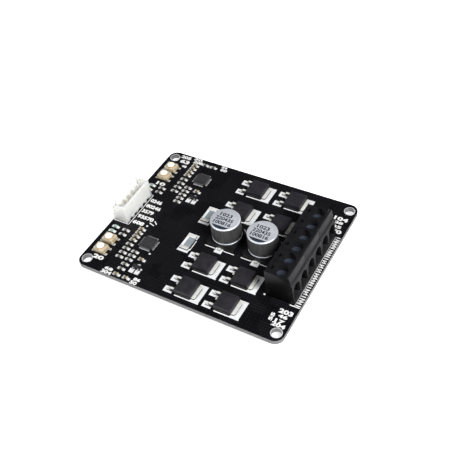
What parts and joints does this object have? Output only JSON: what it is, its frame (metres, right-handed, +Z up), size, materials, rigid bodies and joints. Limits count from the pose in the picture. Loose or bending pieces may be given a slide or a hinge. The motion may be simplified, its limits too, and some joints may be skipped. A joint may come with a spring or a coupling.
{
  "type": "dc motor driver module",
  "caption": "Black circuit board for driving motors, with screw terminals at one end, a pin header at the other, power transistors, can capacitors and push buttons.",
  "frame": {"origin": "centre of the four mounting holes, on the underside of the board", "axes": "+X along the board's length towards the screw terminals, +Y across the board, +Z up out of the populated side"},
  "size_m": [0.0742, 0.0602, 0.0152],
  "materials": {
    "solder_mask": "semi-gloss black solder mask with tinned pads, holes and white print",
    "solder": "bright, slightly uneven solder",
    "terminal_plastic": "fine matte black",
    "screw_steel": "plated, bluish",
    "clamp_steel": "plated",
    "tin_plate": "tin plated, satin",
    "header_plastic": "off-white, slightly see-through",
    "switch_plastic": "tan, matte",
    "cover_plate": "satin",
    "button_plastic": "cream",
    "can_aluminium": "satin, black segment and figures printed on top",
    "base_plastic": "matte black",
    "mould_compound": "dark grey, fine grain",
    "driver_compound": "dark grey, fine grain",
    "ceramic_dark": "glazed dark face",
    "ceramic_tan": "fine tan",
    "shunt_coating": "grey-green coating",
    "led_ceramic": "white",
    "led_resin": "clear, pale green"
  },
  "bodies": {
    "module": {"board": "solder_mask", "solder_pads": "solder", "terminal_housing_1": "terminal_plastic", "terminal_housing_2": "terminal_plastic", "terminal_housing_3": "terminal_plastic", "terminal_contacts": "tin_plate", "header_housing": "header_plastic", "header_pins": "tin_plate", "switch_base_1": "switch_plastic", "switch_base_2": "switch_plastic", "switch_base_3": "switch_plastic", "switch_base_4": "switch_plastic", "switch_covers": "cover_plate", "switch_legs": "tin_plate", "capacitor_can_1": "can_aluminium", "capacitor_can_2": "can_aluminium", "capacitor_base_1": "base_plastic", "capacitor_base_2": "base_plastic", "capacitor_leads": "tin_plate", "mosfet_body_1": "mould_compound", "mosfet_body_2": "mould_compound", "mosfet_body_3": "mould_compound", "mosfet_body_4": "mould_compound", "mosfet_body_5": "mould_compound", "mosfet_body_6": "mould_compound", "mosfet_body_7": "mould_compound", "mosfet_body_8": "mould_compound", "mosfet_tabs": "tin_plate", "mosfet_leads": "tin_plate", "driver_chip_1": "driver_compound", "driver_chip_2": "driver_compound", "driver_chip_legs": "tin_plate", "shunt_resistors": "shunt_coating", "shunt_end_caps": "tin_plate", "chip_resistors": "ceramic_dark", "chip_capacitors": "ceramic_tan", "chip_end_caps": "tin_plate", "led_bases": "led_ceramic", "led_lenses": "led_resin", "small_transistors": "mould_compound", "small_transistor_legs": "tin_plate"},
    "terminal_screw_1": {"terminal_screw_1": "screw_steel"},
    "terminal_screw_2": {"terminal_screw_2": "screw_steel"},
    "terminal_screw_3": {"terminal_screw_3": "screw_steel"},
    "terminal_screw_4": {"terminal_screw_4": "screw_steel"},
    "terminal_screw_5": {"terminal_screw_5": "screw_steel"},
    "terminal_screw_6": {"terminal_screw_6": "screw_steel"},
    "wire_clamp_1": {"wire_clamp_1": "clamp_steel"},
    "wire_clamp_2": {"wire_clamp_2": "clamp_steel"},
    "wire_clamp_3": {"wire_clamp_3": "clamp_steel"},
    "wire_clamp_4": {"wire_clamp_4": "clamp_steel"},
    "wire_clamp_5": {"wire_clamp_5": "clamp_steel"},
    "wire_clamp_6": {"wire_clamp_6": "clamp_steel"},
    "button_1": {"button_1": "button_plastic"},
    "button_2": {"button_2": "button_plastic"},
    "button_3": {"button_3": "button_plastic"},
    "button_4": {"button_4": "button_plastic"}
  },
  "joints": [
    {"name": "screw_turn_1", "type": "hinge", "parent": "module", "child": "terminal_screw_1", "pos_m": [0.0299, -0.01345, 0.0098], "axis": [0, 0, -1], "range_deg": [0, 1296]},
    {"name": "screw_turn_2", "type": "hinge", "parent": "module", "child": "terminal_screw_2", "pos_m": [0.0299, -0.00837, 0.0098], "axis": [0, 0, -1], "range_deg": [0, 1296]},
    {"name": "screw_turn_3", "type": "hinge", "parent": "module", "child": "terminal_screw_3", "pos_m": [0.0299, -0.00329, 0.0098], "axis": [0, 0, -1], "range_deg": [0, 1296]},
    {"name": "screw_turn_4", "type": "hinge", "parent": "module", "child": "terminal_screw_4", "pos_m": [0.0299, 0.00179, 0.0098], "axis": [0, 0, -1], "range_deg": [0, 1296]},
    {"name": "screw_turn_5", "type": "hinge", "parent": "module", "child": "terminal_screw_5", "pos_m": [0.0299, 0.00687, 0.0098], "axis": [0, 0, -1], "range_deg": [0, 1296]},
    {"name": "screw_turn_6", "type": "hinge", "parent": "module", "child": "terminal_screw_6", "pos_m": [0.0299, 0.01195, 0.0098], "axis": [0, 0, -1], "range_deg": [0, 1296]},
    {"name": "clamp_rise_1", "type": "slide", "parent": "module", "child": "wire_clamp_1", "axis": [0, 0, 1], "range_m": [0, 0.0018]},
    {"name": "clamp_rise_2", "type": "slide", "parent": "module", "child": "wire_clamp_2", "axis": [0, 0, 1], "range_m": [0, 0.0018]},
    {"name": "clamp_rise_3", "type": "slide", "parent": "module", "child": "wire_clamp_3", "axis": [0, 0, 1], "range_m": [0, 0.0018]},
    {"name": "clamp_rise_4", "type": "slide", "parent": "module", "child": "wire_clamp_4", "axis": [0, 0, 1], "range_m": [0, 0.0018]},
    {"name": "clamp_rise_5", "type": "slide", "parent": "module", "child": "wire_clamp_5", "axis": [0, 0, 1], "range_m": [0, 0.0018]},
    {"name": "clamp_rise_6", "type": "slide", "parent": "module", "child": "wire_clamp_6", "axis": [0, 0, 1], "range_m": [0, 0.0018]},
    {"name": "button_press_1", "type": "slide", "parent": "module", "child": "button_1", "axis": [0, 0, -1], "range_m": [0, 0.00025], "stiffness_N_per_m": 4000},
    {"name": "button_press_2", "type": "slide", "parent": "module", "child": "button_2", "axis": [0, 0, -1], "range_m": [0, 0.00025], "stiffness_N_per_m": 4000},
    {"name": "button_press_3", "type": "slide", "parent": "module", "child": "button_3", "axis": [0, 0, -1], "range_m": [0, 0.00025], "stiffness_N_per_m": 4000},
    {"name": "button_press_4", "type": "slide", "parent": "module", "child": "button_4", "axis": [0, 0, -1], "range_m": [0, 0.00025], "stiffness_N_per_m": 4000}
  ],
  "couplings": [
    {"joint": "screw_turn_1", "follows": "clamp_rise_1", "rad_per_m": 12566},
    {"joint": "screw_turn_2", "follows": "clamp_rise_2", "rad_per_m": 12566},
    {"joint": "screw_turn_3", "follows": "clamp_rise_3", "rad_per_m": 12566},
    {"joint": "screw_turn_4", "follows": "clamp_rise_4", "rad_per_m": 12566},
    {"joint": "screw_turn_5", "follows": "clamp_rise_5", "rad_per_m": 12566},
    {"joint": "screw_turn_6", "follows": "clamp_rise_6", "rad_per_m": 12566}
  ]
}
